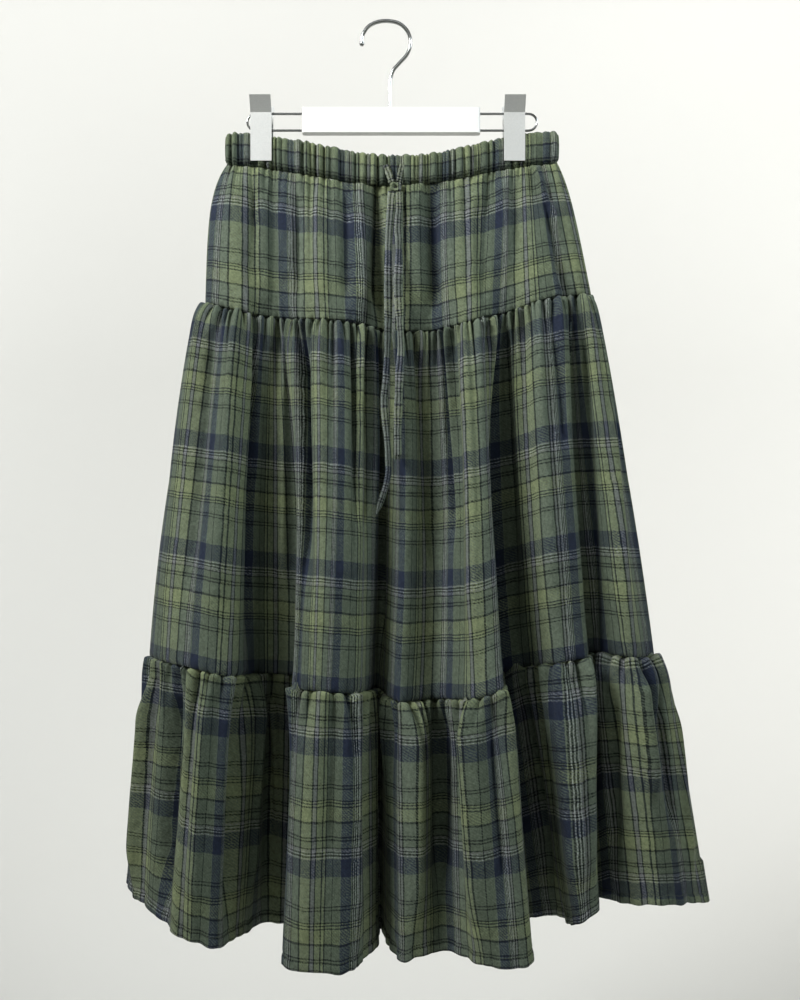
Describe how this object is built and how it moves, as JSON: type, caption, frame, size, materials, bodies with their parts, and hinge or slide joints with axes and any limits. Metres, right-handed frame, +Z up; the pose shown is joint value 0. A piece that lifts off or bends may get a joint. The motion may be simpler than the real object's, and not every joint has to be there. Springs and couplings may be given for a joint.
{
  "type": "maxi skirt on clip hanger",
  "caption": "Tiered, gathered plaid cotton maxi skirt with a drawstring waistband, hanging in deep folds from a clip hanger with a wire hook.",
  "frame": {"origin": "under the inner top of the hanger's hook, where it bears on what it hangs from", "axes": "+Z up, +Y to the back (the wall side), +X to the right as seen from the front"},
  "size_m": [0.6133, 0.1508, 0.9531],
  "materials": {
    "plaid_cotton": "brushed plaid cotton, olive green with navy bands",
    "drawstring_cotton": "flat string sewn from the same plaid cotton",
    "chromed_wire": "bright chromed steel wire",
    "white_lacquer": "smooth glossy white",
    "satin_steel": "satin pressed steel sheet"
  },
  "bodies": {
    "root": {"waistband_front": "plaid_cotton", "waistband_back": "plaid_cotton", "top_tier_front": "plaid_cotton", "top_tier_back": "plaid_cotton", "middle_tier_front_left": "plaid_cotton", "middle_tier_front_centre": "plaid_cotton", "middle_tier_front_right": "plaid_cotton", "middle_tier_back_right": "plaid_cotton", "middle_tier_back_centre": "plaid_cotton", "middle_tier_back_left": "plaid_cotton", "bottom_tier_front_left": "plaid_cotton", "bottom_tier_front_centre": "plaid_cotton", "bottom_tier_front_right": "plaid_cotton", "bottom_tier_back_right": "plaid_cotton", "bottom_tier_back_centre": "plaid_cotton", "bottom_tier_back_left": "plaid_cotton", "drawstring_strand_left": "drawstring_cotton", "drawstring_strand_right": "drawstring_cotton", "drawstring_knot": "drawstring_cotton", "drawstring_tail_left": "drawstring_cotton", "drawstring_tail_right": "drawstring_cotton", "hanger_hook": "chromed_wire", "hanger_wire_left": "chromed_wire", "hanger_wire_right": "chromed_wire", "hanger_bar": "white_lacquer", "clip_left_front_plate": "satin_steel", "clip_left_rear_plate": "satin_steel", "clip_left_spring": "satin_steel", "clip_right_front_plate": "satin_steel", "clip_right_rear_plate": "satin_steel", "clip_right_spring": "satin_steel"}
  },
  "joints": []
}
